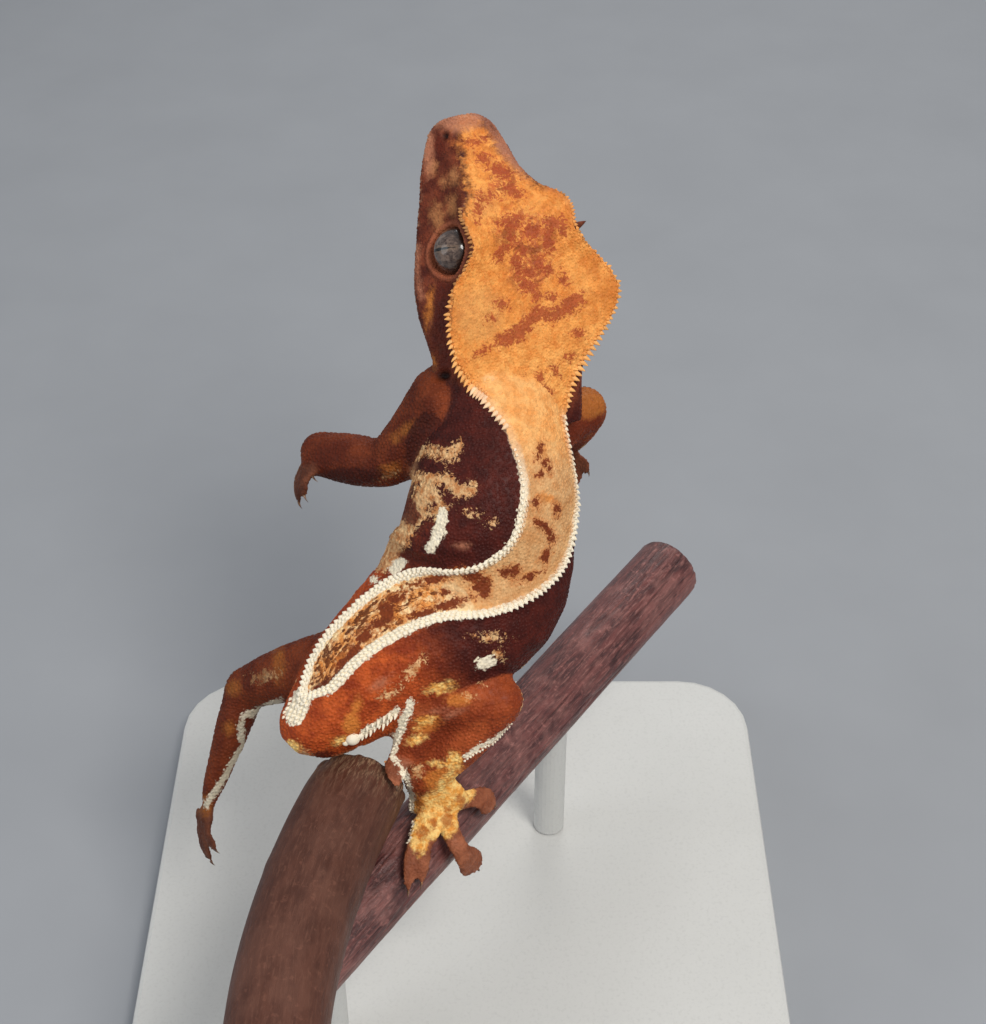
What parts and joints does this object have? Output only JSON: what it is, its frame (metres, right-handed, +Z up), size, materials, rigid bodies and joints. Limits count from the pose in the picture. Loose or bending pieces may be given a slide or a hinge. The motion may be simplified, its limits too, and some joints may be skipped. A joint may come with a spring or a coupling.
{
  "type": "crested gecko",
  "caption": "Life-size crested gecko without a tail, climbing over cut branches on a plain display stand, head raised and one hind foot gripping.",
  "frame": {"origin": "middle of the underside of the stand's base", "axes": "+Z up, the gecko's back faces -Y and up, its head points up and towards +Y, +X is its right side"},
  "size_m": [0.104, 0.1093, 0.1269],
  "materials": {
    "skin": "fine granular scales, orange and cream above, rusty maroon on the sides",
    "eye": "wet, grey with a dark vertical slit",
    "branch_thin": "reddish bark with long ridges, a little glossy",
    "branch_thick": "smooth brown bark, worn end",
    "stand": "plain matt pale grey"
  },
  "bodies": {
    "root": {"head": "skin", "neck": "skin", "chest": "skin", "abdomen": "skin", "tail_stub": "skin", "upper_arm_left": "skin", "upper_arm_right": "skin", "forearm_left": "skin", "forearm_right": "skin", "hand_left": "skin", "hand_right": "skin", "thigh_left": "skin", "thigh_right": "skin", "shank_left": "skin", "shank_right": "skin", "foot_left": "skin", "foot_right": "skin", "eye_left": "eye", "eye_right": "eye", "perch_thin": "branch_thin", "perch_thick": "branch_thick", "stand_base": "stand", "stand_rod_front": "stand", "stand_rod_back": "stand"}
  },
  "joints": []
}
